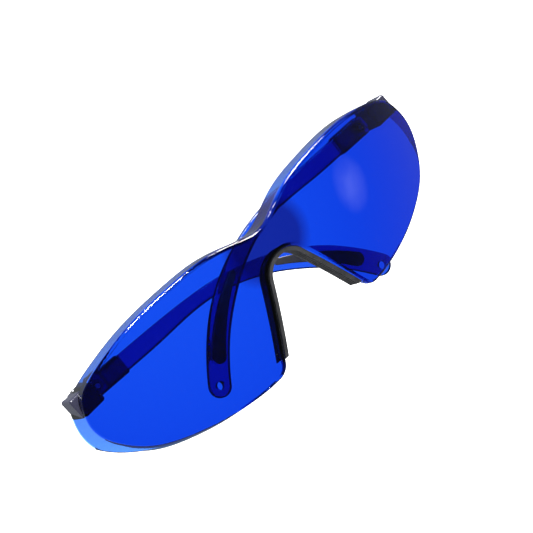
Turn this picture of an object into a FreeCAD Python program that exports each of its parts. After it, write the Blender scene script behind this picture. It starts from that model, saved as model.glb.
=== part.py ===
import FreeCAD, Part
import math
import os

# One-piece shield safety glasses, temples folded behind the lens.
# X is across the face, Y runs from the front of the lens to the back of the head, Z is up.
# All sizes are in millimetres.

V = FreeCAD.Vector

# ---- driving dimensions -------------------------------------------------------------
LENS_RADIUS = 135.0             # spherical front of the shield
LENS_CENTRE = V(0, 132.0, 58.0)  # the sphere's centre stands high, so the lens leans in at the cheeks
LENS_WALL = 2.2                 # thickness of the lens itself
RIM_WALL = 1.0                  # thickness of the ledge, side walls and nose flange behind it
CREASE_RADIUS = 1.2             # rounding where the lens turns into the ledge and side walls
INNER_RADIUS = 0.5              # and the rounding inside that corner
LOFT_FRONT_Y = -14.0            # the shield's rim is lofted between these two planes
LOFT_BACK_Y = 50.0

LEDGE_DEPTH = 13.0              # brow ledge behind the lens, measured on the centre line
LEDGE_BACK_RADIUS = 133.0       # the ledge's back edge in plan
SIDE_SLOPE_Y = 10.0             # side walls end in front of the slope y = z + SIDE_SLOPE_Y
NOSE_DEPTH = 7.0                # nose flange behind the lens
NOSE_SLOPE_Y = 7.0              # the flange ends in front of the slope y = z + NOSE_SLOPE_Y
NOSE_HALF_WIDTH = 25.5          # the nose flange's zone

PAD_THICKNESS = 1.3             # soft nose pad inside the flange
PAD_SETBACK = 0.6               # the pad starts this far behind the lens front
PAD_LIP = 1.2                   # lip behind the flange
PAD_GROOVE = 0.4                # depth of the pad's grip grooves
PAD_GROOVE_DEPTHS = (2.0, 3.8, 5.6)

# Hinge, for the wearer's left (+X) side; the right side mirrors it.
HINGE_X = 71.6
HINGE_Y = 34.6
HINGE_Z = 42.2
FOLD_ANGLE = {"left": 8.0, "right": 3.5}    # past parallel with the lens, in degrees
TILT_ANGLE = {"left": 3.5, "right": -3.5}   # inclination that each temple is set to
BLOCK_INNER_X = 67.6
BLOCK_OUTER_X = 77.6
BLOCK_FRONT_Y = 24.5
BLOCK_BODY_BACK_Y = 31.2
BLOCK_ROUND = 1.0
CHEEK_INNER_X = 75.2            # the cheek runs back outside the folded temple
CHEEK_BACK_Y = 36.8
LUG_RADIUS = 3.1
LUG_THICKNESS = 1.4
KNUCKLE_HEIGHT = 4.6
KNUCKLE_RADIUS = 2.4
RUNNING_GAP = 0.12
PIN_RADIUS = 0.9
PIN_CLEARANCE = 0.05

# Temple, along its own length s from the fold axis.
TONGUE_THICKNESS = 1.7
TONGUE_HEIGHT = 4.2
TILT_PIN_S = 6.6
TILT_PIN_RADIUS = 0.8
SLEEVE_START = 4.4
SLEEVE_END = 18.0
SLEEVE_HEIGHT = 7.0
SLEEVE_THICKNESS = 4.6
SLEEVE_SLOT_END = 9.2
SOCKET_START = 10.0
SOCKET_HEIGHT = 4.7
SOCKET_THICKNESS = 2.3
SLIDE_GAP = 0.1

BLADE_THICKNESS = 2.6
ELBOW_S = 46.0                  # the straight ends here
ELBOW_RADIUS = 78.0             # and this arc takes the ear piece down behind the ear
TIP_ANGLE = 54.5                # turn of the arc at the lanyard hole, in degrees
TIP_RADIUS = 3.9
LANYARD_RADIUS = 1.5
GRIP_ANGLES = (26.5, 47.5)      # the soft inlay's ends on the arc, in degrees
GRIP_RADII = (1.15, 2.5)        # half widths of the inlay at its two ends
GRIP_PROUD = 0.35
GRIP_GAP = 0.05

SIDES = {"left": 1.0, "right": -1.0}

# The model is drawn about the lens, then moved so that it stands on its bounding box's base.
BASE_Y = -17.6544
BASE_Z = 0.6261

# Half of the shield's rim where it meets the spherical front, without the nose gap: x, z,
# then how far the rim flares outwards (x) and upwards (z) for each millimetre back.
RIM = [
    (0.0, 46.4, 0.00, 0.00),
    (4.5, 47.2, 0.00, 0.00),
    (11.0, 49.6, 0.00, 0.00),
    (20.0, 52.0, 0.00, 0.00),
    (32.0, 52.9, 0.00, 0.00),
    (44.0, 52.8, 0.00, 0.00),
    (54.0, 51.7, 0.01, 0.00),
    (63.0, 49.6, 0.03, 0.00),
    (70.5, 47.0, 0.06, 0.00),
    (74.8, 44.0, 0.08, 0.00),
    (76.8, 40.0, 0.10, 0.00),
    (77.9, 34.8, 0.14, 0.00),
    (77.2, 29.8, 0.22, -0.04),
    (74.8, 25.0, 0.30, -0.12),
    (71.0, 20.0, 0.34, -0.20),
    (66.5, 15.9, 0.32, -0.26),
    (60.5, 12.4, 0.24, -0.30),
    (53.0, 9.3, 0.12, -0.28),
    (44.0, 6.6, 0.05, -0.20),
    (35.0, 4.9, 0.00, -0.10),
    (28.5, 4.2, 0.00, -0.05),
    (20.0, 4.0, 0.00, 0.00),
    (10.0, 4.0, 0.00, 0.00),
    (0.0, 4.0, 0.00, 0.00),
]
NOSE_APEX_Z = 36.4
NOSE_ARCH_RADIUS = 8.8
NOSE_SPLAY = 25.5               # each leg of the nose gap leans out by this much, in degrees
NOSE_FOOT_RADIUS = 5.5          # rounding of the lens where a leg meets the lower edge
NOSE_FOOT_Z = 4.15
NOSE_FLAT_X = 33.0


# ---- helpers ------------------------------------------------------------------------
def lens_y(x, z):
    """Y of the shield's spherical front at x, z."""
    reach = LENS_RADIUS ** 2 - x ** 2 - (z - LENS_CENTRE.z) ** 2
    return LENS_CENTRE.y - math.sqrt(reach)


def sphere(radius, shift_y=0.0):
    return Part.makeSphere(radius, LENS_CENTRE + V(0, shift_y, 0))


def mirror_x(shape):
    return shape.mirror(V(0, 0, 0), V(1, 0, 0))


def box(low, high):
    return Part.makeBox(high[0] - low[0], high[1] - low[1], high[2] - low[2], V(*low))


def rounded_box(low, high, radius):
    """A box with all its edges rounded."""
    shape = box(low, high)
    return shape.makeFillet(radius, shape.Edges)


def spline(points, start, end):
    curve = Part.BSplineCurve()
    curve.interpolate(Points=points, InitialTangent=start, FinalTangent=end)
    return curve


def behind_slope(offset, low_z=-20.0, high_z=90.0):
    """Everything with y > z + offset."""
    corners = [V(-120, low_z + offset, low_z), V(-120, high_z + offset, high_z),
               V(-120, 200, high_z), V(-120, 200, low_z)]
    face = Part.Face(Part.makePolygon(corners + corners[:1]))
    return face.extrude(V(240, 0, 0))


# ---- shield -------------------------------------------------------------------------
def closed_spline(points, parameters):
    curve = Part.BSplineCurve()
    curve.interpolate(Points=points, PeriodicFlag=True, Parameters=parameters)
    return curve


def rim_rows():
    """The whole rim, once round, from its half."""
    other_half = [(-x, z, -flare_x, flare_z) for x, z, flare_x, flare_z in reversed(RIM[1:-1])]
    return RIM + other_half


def rim_face_curve(plane_y, inset):
    """The rim's outline on one plane, moved inwards by inset."""
    rows = rim_rows()
    base_points = [V(x, 0, z) for x, z, _, _ in rows]
    parameters = [0.0]
    for here, there in zip(base_points, base_points[1:] + base_points[:1]):
        parameters.append(parameters[-1] + here.distanceToPoint(there))
    base = closed_spline(base_points, parameters)
    points = []
    for (x, z, flare_x, flare_z), parameter in zip(rows, parameters):
        tangent = base.tangent(parameter)[0]
        back = plane_y - lens_y(x, z)
        points.append(V(x + tangent.z * inset + flare_x * back, plane_y,
                        z - tangent.x * inset + flare_z * back))
    return closed_spline(points, parameters).toShape()


def rim_solid(inset):
    """Solid bounded by the rim, from the loft's front plane to its back plane."""
    front = rim_face_curve(LOFT_FRONT_Y, inset)
    back = rim_face_curve(LOFT_BACK_Y, inset)
    faces = [Part.makeRuledSurface(front, back)]
    for edge in (front, back):
        faces.append(Part.Face(Part.Wire([edge])))
    shell = Part.makeShell(faces)
    shell.sewShape()
    return Part.makeSolid(shell)


def nose_prism(inset):
    """A long bar with the nose gap's section, made narrower by inset on each side."""
    radius = NOSE_ARCH_RADIUS - inset
    centre_z = NOSE_APEX_Z - NOSE_ARCH_RADIUS
    splay = math.radians(NOSE_SPLAY)
    outwards = V(math.cos(splay), 0, math.sin(splay))
    down = V(math.sin(splay), 0, -math.cos(splay))
    shoulder = V(0, 0, centre_z) + outwards * radius
    foot_radius = NOSE_FOOT_RADIUS + inset
    foot_centre_z = NOSE_FOOT_Z + NOSE_FOOT_RADIUS
    leg_length = (shoulder.z + foot_radius * outwards.z - foot_centre_z) / math.cos(splay)
    foot_top = shoulder + down * leg_length
    foot_centre = foot_top + outwards * foot_radius
    half_turn = math.radians(90 + NOSE_SPLAY) / 2
    foot_middle = foot_centre + V(-math.sin(half_turn), 0, -math.cos(half_turn)) * foot_radius
    foot_bottom = foot_centre + V(0, 0, -foot_radius)
    ledge_end = V(NOSE_FLAT_X, 0, foot_bottom.z)
    floor = V(NOSE_FLAT_X, 0, -10)
    right = [Part.Arc(foot_top, foot_middle, foot_bottom).toShape(),
             Part.makeLine(shoulder, foot_top),
             Part.makeLine(foot_bottom, ledge_end),
             Part.makeLine(ledge_end, floor)]
    arch = Part.Arc(V(-shoulder.x, 0, shoulder.z), V(0, 0, centre_z + radius), shoulder).toShape()
    base = Part.makeLine(V(-floor.x, 0, floor.z), floor)
    edges = right + [mirror_x(edge) for edge in right] + [arch, base]
    face = Part.Face(Part.Wire(Part.__sortEdges__(edges)))
    face.translate(V(0, -40, 0))
    return face.extrude(V(0, 100, 0))


def front_edges(shape, depth):
    """The edges along the front of a shield-shaped solid: its rim and its nose gap."""
    edges = []
    for edge in shape.Edges:
        points = edge.discretize(5)
        if all(abs((point - LENS_CENTRE).Length - (LENS_RADIUS - depth)) < 0.01 for point in points):
            edges.append(edge)
    return edges


def make_shield():
    outer = rim_solid(0.0).common(sphere(LENS_RADIUS)).cut(nose_prism(0.0))
    outer = outer.Solids[0].makeFillet(CREASE_RADIUS, front_edges(outer, 0.0))
    inner = rim_solid(RIM_WALL).common(sphere(LENS_RADIUS - LENS_WALL)).cut(nose_prism(-RIM_WALL))
    inner = inner.Solids[0].makeFillet(INNER_RADIUS, front_edges(inner, LENS_WALL))
    shell = outer.cut(inner)

    ledge_back_y = lens_y(0, RIM[0][1]) + LEDGE_DEPTH
    behind_ledge = Part.makeCylinder(LEDGE_BACK_RADIUS, 140, V(0, ledge_back_y + LEDGE_BACK_RADIUS, -40))
    behind_lens = sphere(LENS_RADIUS - LENS_WALL)
    nose_zone = box((-NOSE_HALF_WIDTH, -60, -20), (NOSE_HALF_WIDTH, 160, 40.5))
    behind_sides = behind_slope(SIDE_SLOPE_Y).common(behind_lens)
    behind_nose = behind_lens.common(nose_zone).common(
        sphere(LENS_RADIUS, NOSE_DEPTH).fuse(behind_slope(NOSE_SLOPE_Y)))
    shell = shell.cut(behind_ledge)
    shell = shell.cut(behind_sides.cut(nose_zone))
    shell = shell.cut(behind_nose)
    for room in (make_hinge_room(), mirror_x(make_hinge_room())):
        shell = shell.cut(room)
    return shell


# ---- nose pad -----------------------------------------------------------------------
def depth_slab(front, back):
    """Everything between two depths behind the lens front."""
    return sphere(LENS_RADIUS, front).cut(sphere(LENS_RADIUS, back))


def make_nose_pad():
    gap = nose_prism(PAD_THICKNESS)
    liner = nose_prism(0.02).cut(gap).common(depth_slab(PAD_SETBACK, NOSE_DEPTH + 0.05))
    lip = nose_prism(-RIM_WALL).cut(gap).common(depth_slab(NOSE_DEPTH + 0.05, NOSE_DEPTH + PAD_LIP))
    pad = liner.fuse(lip)
    groove_ring = nose_prism(PAD_THICKNESS - PAD_GROOVE).cut(gap)
    for depth in PAD_GROOVE_DEPTHS:
        pad = pad.cut(groove_ring.common(depth_slab(depth, depth + 0.8)))
    foot = box((-60, -60, -30), (60, 100, 8.2))
    pad = pad.cut(foot).cut(behind_slope(NOSE_SLOPE_Y + 1.2))
    return pad


# ---- hinge --------------------------------------------------------------------------
def hinge_levels():
    """Heights of the knuckle's and the lugs' faces."""
    knuckle = KNUCKLE_HEIGHT / 2
    lug = knuckle + RUNNING_GAP
    return knuckle, lug, lug + LUG_THICKNESS


def make_hinge_room():
    """The hinge block without its slot: what it takes out of the shield (wearer's left side)."""
    _, _, lug_outer = hinge_levels()
    low_z = HINGE_Z - lug_outer
    high_z = HINGE_Z + lug_outer
    body = rounded_box((BLOCK_INNER_X, BLOCK_FRONT_Y, low_z), (BLOCK_OUTER_X, BLOCK_BODY_BACK_Y, high_z),
                       BLOCK_ROUND)
    cheek = rounded_box((CHEEK_INNER_X, BLOCK_FRONT_Y, low_z), (BLOCK_OUTER_X, CHEEK_BACK_Y, high_z),
                        BLOCK_ROUND)
    lugs = Part.makeCylinder(LUG_RADIUS, 2 * lug_outer, V(HINGE_X, HINGE_Y, low_z))
    web = box((HINGE_X - LUG_RADIUS, BLOCK_BODY_BACK_Y - 2, low_z), (CHEEK_INNER_X + 1, HINGE_Y, high_z))
    return body.fuse(cheek).fuse(lugs).fuse(web)


def make_hinge_block():
    """Clevis set in the shield's upper outer corner (wearer's left side)."""
    _, lug_inner, lug_outer = hinge_levels()
    slot = Part.makeCylinder(LUG_RADIUS + 0.6, 2 * lug_inner, V(HINGE_X, HINGE_Y, HINGE_Z - lug_inner))
    side_slot = box((HINGE_X - 12, BLOCK_BODY_BACK_Y, HINGE_Z - lug_inner),
                    (HINGE_X, HINGE_Y + 10, HINGE_Z + lug_inner))
    pin_hole = Part.makeCylinder(PIN_RADIUS, 3 * lug_outer, V(HINGE_X, HINGE_Y, HINGE_Z - 1.5 * lug_outer))
    return make_hinge_room().cut(slot).cut(side_slot).cut(pin_hole).removeSplitter()


def make_hinge_pin():
    _, _, lug_outer = hinge_levels()
    pin = Part.makeCylinder(PIN_RADIUS, 2 * lug_outer, V(HINGE_X, HINGE_Y, HINGE_Z - lug_outer))
    head = Part.makeCylinder(1.6, 0.5, V(HINGE_X, HINGE_Y, HINGE_Z + lug_outer))
    head = head.makeFillet(0.3, [head.Edges[0]])
    return pin.fuse(head)


# ---- temple, drawn along +X from the fold axis at the origin, flat in the XZ plane -----
def make_knuckle():
    knuckle, _, _ = hinge_levels()
    barrel = Part.makeCylinder(KNUCKLE_RADIUS, 2 * knuckle, V(0, 0, -knuckle))
    half = TONGUE_THICKNESS / 2
    tongue = box((0, -half, -TONGUE_HEIGHT / 2), (TILT_PIN_S, half, TONGUE_HEIGHT / 2))
    eye = Part.makeCylinder(TONGUE_HEIGHT / 2, TONGUE_THICKNESS, V(TILT_PIN_S, -half, 0), V(0, 1, 0))
    fold_hole = Part.makeCylinder(PIN_RADIUS + PIN_CLEARANCE, 10, V(0, 0, -5))
    tilt_hole = Part.makeCylinder(TILT_PIN_RADIUS + PIN_CLEARANCE, 10, V(TILT_PIN_S, -5, 0), V(0, 1, 0))
    return barrel.fuse(tongue).fuse(eye).cut(fold_hole).cut(tilt_hole).removeSplitter()


def make_tilt_pin():
    half = SLEEVE_THICKNESS / 2
    return Part.makeCylinder(TILT_PIN_RADIUS, SLEEVE_THICKNESS, V(TILT_PIN_S, -half, 0), V(0, 1, 0))


def make_sleeve():
    half_t = SLEEVE_THICKNESS / 2
    half_h = SLEEVE_HEIGHT / 2
    sleeve = rounded_box((SLEEVE_START, -half_t, -half_h), (SLEEVE_END, half_t, half_h), 0.7)
    slot_half = TONGUE_THICKNESS / 2 + RUNNING_GAP
    slot = box((SLEEVE_START - 1, -slot_half, -half_h - 1), (SLEEVE_SLOT_END, slot_half, half_h + 1))
    socket = box((SOCKET_START, -SOCKET_THICKNESS / 2, -SOCKET_HEIGHT / 2),
                 (SLEEVE_END + 1, SOCKET_THICKNESS / 2, SOCKET_HEIGHT / 2))
    pin_hole = Part.makeCylinder(TILT_PIN_RADIUS, 10, V(TILT_PIN_S, -5, 0), V(0, 1, 0))
    return sleeve.cut(slot).cut(socket).cut(pin_hole)


def on_arc(degrees, offset=0.0):
    """Point beside the ear piece's centre line at a turn of the arc; offset is upwards."""
    turn = math.radians(degrees)
    radius = ELBOW_RADIUS + offset
    return V(ELBOW_S + radius * math.sin(turn), 0, radius * math.cos(turn) - ELBOW_RADIUS)


def half_height(degrees):
    """Half the ear piece's height along the arc: slim at the elbow, wide at the tip."""
    share = min(1.0, max(0.0, (degrees - 8.0) / 30.0))
    smooth = share * share * (3 - 2 * share)
    return 2.45 + (TIP_RADIUS - 2.45) * smooth


def make_ear_piece():
    start = SLEEVE_END + 0.15
    upper = [V(start, 0, 3.1), V(ELBOW_S - 14, 0, 3.0)]
    lower = [V(start, 0, -3.1), V(ELBOW_S - 14, 0, -3.0)]
    for degrees in (2, 10, 18, 26, 34, 42, TIP_ANGLE):
        upper.append(on_arc(degrees, half_height(degrees)))
        lower.append(on_arc(degrees, -half_height(degrees)))
    turn = math.radians(TIP_ANGLE)
    along = V(math.cos(turn), 0, -math.sin(turn))
    tip_centre = on_arc(TIP_ANGLE)
    tip = Part.Arc(upper[-1], tip_centre + along * TIP_RADIUS, lower[-1])
    edges = [spline(upper, V(1, 0, 0), along).toShape(), tip.toShape(),
             spline(lower, V(1, 0, 0), along).toShape(), Part.makeLine(lower[0], upper[0])]
    face = Part.Face(Part.Wire(Part.__sortEdges__(edges)))
    half_t = BLADE_THICKNESS / 2
    face.translate(V(0, -half_t, 0))
    blade = face.extrude(V(0, BLADE_THICKNESS, 0))
    blade = blade.makeFillet(0.7, [e for e in blade.Edges if is_long_edge(e, half_t)])
    shank_t = SOCKET_THICKNESS / 2 - SLIDE_GAP
    shank_h = SOCKET_HEIGHT / 2 - SLIDE_GAP
    shank = box((SOCKET_START + 0.2, -shank_t, -shank_h), (start + 3, shank_t, shank_h))
    hole = Part.makeCylinder(LANYARD_RADIUS, 10, tip_centre + V(0, -5, 0), V(0, 1, 0))
    return blade.fuse(shank).cut(grip_bar(GRIP_GAP, 10.0)).cut(hole)


def is_long_edge(edge, half_t):
    """True for the outline edges on the blade's two flat faces."""
    box_ = edge.BoundBox
    flat = box_.YLength < 0.01 and abs(abs(box_.YMin) - half_t) < 0.01
    return flat and box_.XLength > 1.0


def grip_bar(grow, thickness):
    """The soft inlay's shape along the arc, grown by grow and as thick as asked."""
    first, last = GRIP_ANGLES
    small, large = (radius + grow for radius in GRIP_RADII)
    middle = (first + last) / 2
    mean = (small + large) / 2
    upper = [on_arc(first, small), on_arc(middle, mean), on_arc(last, large)]
    lower = [on_arc(first, -small), on_arc(middle, -mean), on_arc(last, -large)]
    start_dir = V(math.cos(math.radians(first)), 0, -math.sin(math.radians(first)))
    end_dir = V(math.cos(math.radians(last)), 0, -math.sin(math.radians(last)))
    edges = [Part.Arc(*upper).toShape(), Part.Arc(*lower).toShape(),
             Part.Arc(upper[0], on_arc(first) - start_dir * small, lower[0]).toShape(),
             Part.Arc(upper[2], on_arc(last) + end_dir * large, lower[2]).toShape()]
    face = Part.Face(Part.Wire(Part.__sortEdges__(edges)))
    face.translate(V(0, -thickness / 2, 0))
    return face.extrude(V(0, thickness, 0))


def make_ear_grip():
    grip = grip_bar(0.0, BLADE_THICKNESS + 2 * GRIP_PROUD)
    flat = [e for e in grip.Edges if e.BoundBox.YLength < 0.01]
    return grip.makeFillet(0.25, flat)


def place_temple(shape, side, tilted):
    """Turns a piece drawn along +X to its folded place on one side."""
    sign = SIDES[side]
    placed = shape.copy()
    if tilted:
        placed.rotate(V(TILT_PIN_S, 0, 0), V(0, -1, 0), TILT_ANGLE[side])
    if sign > 0:
        placed.rotate(V(0, 0, 0), V(0, 0, 1), 180.0 + FOLD_ANGLE[side])
    else:
        placed.rotate(V(0, 0, 0), V(0, 0, 1), -FOLD_ANGLE[side])
    placed.translate(V(sign * HINGE_X, HINGE_Y, HINGE_Z))
    return placed


# ---- assembly -----------------------------------------------------------------------
def build():
    block = make_hinge_block()
    blocks = {"left": block, "right": mirror_x(block)}
    pin = make_hinge_pin()
    pins = {"left": pin, "right": mirror_x(pin)}
    parts = {"lens_shield": make_shield(), "nose_pad": make_nose_pad()}
    for side in SIDES:
        parts[side + "_hinge_block"] = blocks[side]
        parts[side + "_hinge_pin"] = pins[side]
        parts[side + "_temple_knuckle"] = place_temple(make_knuckle(), side, False)
        parts[side + "_tilt_pin"] = place_temple(make_tilt_pin(), side, True)
        parts[side + "_temple_sleeve"] = place_temple(make_sleeve(), side, True)
        parts[side + "_ear_piece"] = place_temple(make_ear_piece(), side, True)
        parts[side + "_ear_grip"] = place_temple(make_ear_grip(), side, True)
    return parts


def main():
    os.makedirs("parts", exist_ok=True)
    bounds = FreeCAD.BoundBox()
    for name, shape in build().items():
        shape.translate(V(0, BASE_Y, BASE_Z))
        bounds.add(shape.optimalBoundingBox())
        print(name, len(shape.Solids), round(shape.Volume, 1), shape.isValid())
        shape.exportStep("parts/" + name + ".step")
    print("bounds", bounds)


main()
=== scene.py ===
import bpy
import math
from mathutils import Matrix, Vector

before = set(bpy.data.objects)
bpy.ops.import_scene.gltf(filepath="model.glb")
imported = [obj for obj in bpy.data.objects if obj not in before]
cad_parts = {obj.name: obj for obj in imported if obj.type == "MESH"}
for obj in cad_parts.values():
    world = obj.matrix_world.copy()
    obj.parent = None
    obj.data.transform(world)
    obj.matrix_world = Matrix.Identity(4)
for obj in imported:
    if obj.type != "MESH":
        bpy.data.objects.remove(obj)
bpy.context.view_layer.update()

# Camera: where the photographer stood, told as angles about the lens.
YAW = 20.0                # degrees towards the wearer's right of straight in front
PITCH = 12.4              # degrees above the lens's own level
ROLL = 41.9               # degrees the camera is turned about its own axis
DISTANCE = 0.560          # metres from the lens's reference point
FOCAL = 116.2             # millimetres, on a 36 mm sensor
REFERENCE = Vector((0.0, -0.01765, 0.00063))   # middle of the lens front, at its foot
LENS_MIDDLE = Vector((0.0, 0.0, 0.035))        # above the reference point
AIM_RIGHT = -0.0055       # the picture's centre, across and above the reference point
AIM_UP = 0.0350

FLOOR_LEVEL = -0.0006     # a hair under the lowest temple tip
FLOOR_SIZE = 12.0
BACKDROP_GLOW = 2.5       # brighter than white, so that it photographs as plain white
ROOM_DIM = 0.06           # what reflections see behind the photographer
ROOM_BRIGHT = 0.30        # and on the far side of the object
ROOM_DARK_FROM = 0.25     # cosines of the angle from the camera between which it changes
ROOM_WHITE_FROM = -0.6
ROOM_COLOUR = (0.86, 0.93, 1.0, 1.0)
WINDOW_TOWARDS = (0.79, -0.46, -0.40)   # a soft window, whose reflection hangs in the lens
WINDOW_SIZE = 0.13
WINDOW_GLOW = 1.5
WINDOW_CLOUD = (0.2, 1.8)               # how unevenly the window glows

WHITE = (1.0, 1.0, 1.0, 1.0)
TINT_SHIELD = (0.0, 0.426, 0.836, 1.0)  # what is left of red, green and blue along the way
TINT_TEMPLE = (0.0, 0.357, 0.803, 1.0)
DEPTH_SHIELD = 2700.0                   # absorption for each metre of plastic
DEPTH_TEMPLE = 1830.0
DEPTH_JOINT = 4200.0
BRIDGE_PAINTED_SHADE = (1.0, 0.30, 0.42, 1.0)  # painted shade: deeper violet at the thick bridge, for light lost on its long path
BRIDGE_SHADE_CENTRE = (0.0, -0.017, 0.0425)
BRIDGE_SHADE_REACH = (0.017, 0.08, 0.015)


# ---- node helpers ---------------------------------------------------------------------
def new_material(name):
    material = bpy.data.materials.new(name)
    material.use_nodes = True
    tree = material.node_tree
    shader = tree.nodes["Principled BSDF"]
    return material, tree, shader


def node(tree, kind, **settings):
    made = tree.nodes.new(kind)
    for key, value in settings.items():
        if key in made.inputs:
            made.inputs[key].default_value = value
        else:
            setattr(made, key, value)
    return made


def object_noise(tree, scale, detail=3.0, roughness=0.55):
    """Noise in object space, so that its grain is in metres."""
    place = node(tree, "ShaderNodeTexCoord")
    noise = node(tree, "ShaderNodeTexNoise", Scale=scale, Detail=detail, Roughness=roughness)
    tree.links.new(place.outputs["Object"], noise.inputs["Vector"])
    return noise.outputs["Fac"]


def remap(tree, value, low, high):
    span = node(tree, "ShaderNodeMapRange")
    span.inputs["To Min"].default_value = low
    span.inputs["To Max"].default_value = high
    tree.links.new(value, span.inputs["Value"])
    return span.outputs["Result"]


def soft_blob(tree, coordinates, centre, reach):
    """One at the centre, fading to nothing over the given reach along each axis."""
    place = node(tree, "ShaderNodeTexCoord")
    fit = node(tree, "ShaderNodeMapping", vector_type="TEXTURE")
    fit.inputs["Location"].default_value = centre
    fit.inputs["Scale"].default_value = reach
    blob = node(tree, "ShaderNodeTexGradient", gradient_type="SPHERICAL")
    tree.links.new(place.outputs[coordinates], fit.inputs["Vector"])
    tree.links.new(fit.outputs["Vector"], blob.inputs["Vector"])
    return blob.outputs["Fac"]


def bump(tree, height, strength, distance):
    made = node(tree, "ShaderNodeBump", Strength=strength, Distance=distance)
    tree.links.new(height, made.inputs["Height"])
    return made.outputs["Normal"]


# ---- materials ------------------------------------------------------------------------
def clear_plastic(name, tint, density, roughness):
    """Moulded see-through plastic: clear surface, colour from the light lost inside it."""
    material, tree, shader = new_material(name)
    shader.inputs["Base Color"].default_value = WHITE
    shader.inputs["Transmission Weight"].default_value = 1.0
    haze = object_noise(tree, 160.0, detail=2.0)
    tree.links.new(remap(tree, haze, roughness * 0.6, roughness * 1.4),
                   shader.inputs["Roughness"])
    flow = object_noise(tree, 45.0, detail=1.0)
    tree.links.new(bump(tree, flow, 0.015, 0.0004), shader.inputs["Normal"])
    loss = node(tree, "ShaderNodeVolumeAbsorption")
    loss.inputs["Color"].default_value = tint
    loss.inputs["Density"].default_value = density
    tree.links.new(loss.outputs["Volume"], tree.nodes["Material Output"].inputs["Volume"])
    return material


def paint_bridge_shade(material, colour, centre, reach):
    """Painted shade: deeper colour where a moulding is thick, as at the bridge, for light lost
    inside.
    """
    tree = material.node_tree
    shade_ramp = node(tree, "ShaderNodeValToRGB")
    shade_ramp.color_ramp.elements[0].color = WHITE
    shade_ramp.color_ramp.elements[1].position = 0.3
    shade_ramp.color_ramp.elements[1].color = colour
    tree.links.new(soft_blob(tree, "Object", centre, reach), shade_ramp.inputs["Fac"])
    shader = tree.nodes["Principled BSDF"]
    # the painted shade goes into the base colour, in a blob around the bridge
    tree.links.new(shade_ramp.outputs["Color"], shader.inputs["Base Color"])


def smoke_plastic():
    material, tree, shader = new_material("smoke_plastic")
    grain = object_noise(tree, 2200.0, detail=4.0)
    shader.inputs["Base Color"].default_value = (0.012, 0.012, 0.022, 1.0)
    tree.links.new(remap(tree, grain, 0.16, 0.30), shader.inputs["Roughness"])
    tree.links.new(bump(tree, grain, 0.12, 0.00004), shader.inputs["Normal"])
    return material


def soft_rubber():
    material, tree, shader = new_material("soft_rubber")
    grain = object_noise(tree, 3200.0, detail=5.0)
    dust = object_noise(tree, 240.0, detail=4.0)
    tone = node(tree, "ShaderNodeValToRGB")
    tone.color_ramp.elements[0].position = 0.35
    tone.color_ramp.elements[0].color = (0.010, 0.010, 0.011, 1.0)
    tone.color_ramp.elements[1].position = 0.75
    tone.color_ramp.elements[1].color = (0.021, 0.021, 0.023, 1.0)
    tree.links.new(dust, tone.inputs["Fac"])
    tree.links.new(tone.outputs["Color"], shader.inputs["Base Color"])
    shader.inputs["Specular IOR Level"].default_value = 0.3
    tree.links.new(remap(tree, grain, 0.42, 0.62), shader.inputs["Roughness"])
    tree.links.new(bump(tree, grain, 0.25, 0.00006), shader.inputs["Normal"])
    return material


def pin_steel():
    material, tree, shader = new_material("pin_steel")
    marks = object_noise(tree, 4000.0, detail=3.0)
    shader.inputs["Base Color"].default_value = (0.55, 0.55, 0.57, 1.0)
    shader.inputs["Metallic"].default_value = 1.0
    tree.links.new(remap(tree, marks, 0.22, 0.42), shader.inputs["Roughness"])
    return material


# ---- pieces ---------------------------------------------------------------------------
def dress(name, material):
    """Gives a CAD node its material."""
    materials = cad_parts[name].data.materials
    materials.clear()
    materials.append(material)


def dress_all():
    shield = clear_plastic("shield_blue", TINT_SHIELD, DEPTH_SHIELD, 0.02)
    # painted shade at the bridge, in the shield's base colour
    paint_bridge_shade(shield, BRIDGE_PAINTED_SHADE, BRIDGE_SHADE_CENTRE, BRIDGE_SHADE_REACH)
    temple = clear_plastic("temple_blue", TINT_TEMPLE, DEPTH_TEMPLE, 0.04)
    joint = clear_plastic("joint_blue", TINT_TEMPLE, DEPTH_JOINT, 0.04)
    rubber = soft_rubber()
    smoke = smoke_plastic()
    steel = pin_steel()
    dress("lens_shield", shield)
    dress("nose_pad", rubber)
    for side in ("left", "right"):
        dress(side + "_hinge_block", smoke)
        dress(side + "_hinge_pin", steel)
        dress(side + "_temple_knuckle", joint)
        dress(side + "_tilt_pin", steel)
        dress(side + "_temple_sleeve", joint)
        dress(side + "_ear_piece", temple)
        dress(side + "_ear_grip", rubber)


# ---- stage ----------------------------------------------------------------------------
def white_glow():
    material = bpy.data.materials.new("white_floor")
    material.use_nodes = True
    tree = material.node_tree
    tree.nodes.clear()
    glow = node(tree, "ShaderNodeEmission", Color=WHITE, Strength=BACKDROP_GLOW)
    out = node(tree, "ShaderNodeOutputMaterial")
    tree.links.new(glow.outputs["Emission"], out.inputs["Surface"])
    return material


def add_floor():
    bpy.ops.mesh.primitive_plane_add(size=FLOOR_SIZE, location=(0.0, 0.0, FLOOR_LEVEL))
    floor = bpy.context.object
    floor.name = "floor"
    floor.data.materials.append(white_glow())
    floor.visible_glossy = False


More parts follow.
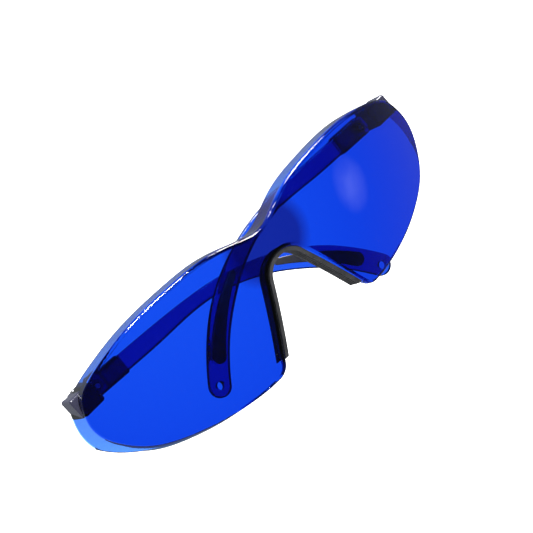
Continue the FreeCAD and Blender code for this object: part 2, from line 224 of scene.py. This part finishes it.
def add_world(towards_camera):
    """White surroundings for what is seen directly or through the plastic.
    Reflections see a room: dim on the photographer's side, brighter on the far side, with one
    soft window."""
    world = bpy.data.worlds.new("studio")
    bpy.context.scene.world = world
    world.use_nodes = True
    tree = world.node_tree
    tree.nodes.clear()
    white = node(tree, "ShaderNodeBackground", Color=WHITE, Strength=BACKDROP_GLOW)
    room = node(tree, "ShaderNodeBackground", Color=ROOM_COLOUR)
    place = node(tree, "ShaderNodeTexCoord")
    facing = node(tree, "ShaderNodeVectorMath", operation="DOT_PRODUCT")
    facing.inputs[1].default_value = towards_camera
    fade = node(tree, "ShaderNodeMapRange", interpolation_type="SMOOTHSTEP")
    fade.inputs["From Min"].default_value = ROOM_DARK_FROM
    fade.inputs["From Max"].default_value = ROOM_WHITE_FROM
    fade.inputs["To Min"].default_value = ROOM_DIM
    fade.inputs["To Max"].default_value = ROOM_BRIGHT
    path = node(tree, "ShaderNodeLightPath")
    mix = node(tree, "ShaderNodeMixShader")
    out = node(tree, "ShaderNodeOutputWorld")
    tree.links.new(place.outputs["Generated"], facing.inputs[0])
    tree.links.new(facing.outputs["Value"], fade.inputs["Value"])
    cloud = object_noise(tree, 9.0, detail=4.0)
    window = node(tree, "ShaderNodeMath", operation="MULTIPLY")
    lit = node(tree, "ShaderNodeMath", operation="ADD")
    glow = soft_blob(tree, "Generated", WINDOW_TOWARDS, (WINDOW_SIZE,) * 3)
    tree.links.new(remap(tree, glow, 0.0, WINDOW_GLOW), window.inputs[0])
    tree.links.new(remap(tree, cloud, *WINDOW_CLOUD), window.inputs[1])
    tree.links.new(fade.outputs["Result"], lit.inputs[0])
    tree.links.new(window.outputs["Value"], lit.inputs[1])
    tree.links.new(lit.outputs["Value"], room.inputs["Strength"])
    tree.links.new(path.outputs["Is Glossy Ray"], mix.inputs["Fac"])
    tree.links.new(white.outputs["Background"], mix.inputs[1])
    tree.links.new(room.outputs["Background"], mix.inputs[2])
    tree.links.new(mix.outputs["Shader"], out.inputs["Surface"])


def add_softbox(name, offset, width, height, power):
    """A rectangular light that the camera doesn't see, turned towards the lens's middle."""
    target = REFERENCE + LENS_MIDDLE
    data = bpy.data.lights.new(name, "AREA")
    data.shape = "RECTANGLE"
    data.size = width
    data.size_y = height
    data.energy = power
    lamp = bpy.data.objects.new(name, data)
    bpy.context.scene.collection.objects.link(lamp)
    lamp.location = target + offset
    lamp.rotation_euler = (lamp.location - target).to_track_quat("Z", "Y").to_euler()
    lamp.visible_camera = False
    lamp.visible_transmission = False


def add_camera():
    """Makes the camera and returns the direction from the glasses towards it."""
    yaw, pitch, roll = (math.radians(angle) for angle in (YAW, PITCH, ROLL))
    level = Vector((-math.sin(yaw), -math.cos(yaw), 0.0))
    towards = level * math.cos(pitch) + Vector((0.0, 0.0, math.sin(pitch)))
    across = Vector((math.cos(yaw), -math.sin(yaw), 0.0))
    above = towards.cross(across)
    place = REFERENCE + towards * DISTANCE
    aim = REFERENCE + across * AIM_RIGHT + above * AIM_UP
    back = (place - aim).normalized()
    right = across * math.cos(roll) - above * math.sin(roll)
    right = (right - back * right.dot(back)).normalized()
    up = back.cross(right)
    data = bpy.data.cameras.new("camera")
    data.lens = FOCAL
    data.sensor_width = 36.0
    data.clip_start = 0.01
    camera = bpy.data.objects.new("camera", data)
    bpy.context.scene.collection.objects.link(camera)
    turn = Matrix((right, up, back)).transposed().to_4x4()
    camera.matrix_world = Matrix.Translation(place) @ turn
    bpy.context.scene.camera = camera
    return back


def add_lights():
    """Softboxes overhead, so that their streaks fall on the brow crease and not on the lens."""
    add_softbox("overhead_softbox", Vector((-0.22, -0.40, 0.62)),
                width=0.42, height=0.46, power=24.0)
    add_softbox("far_softbox", Vector((0.42, -0.25, 0.55)),
                width=0.36, height=0.40, power=16.0)


add_floor()
add_world(add_camera())
add_lights()
dress_all()
bpy.context.scene.view_settings.view_transform = "Standard"
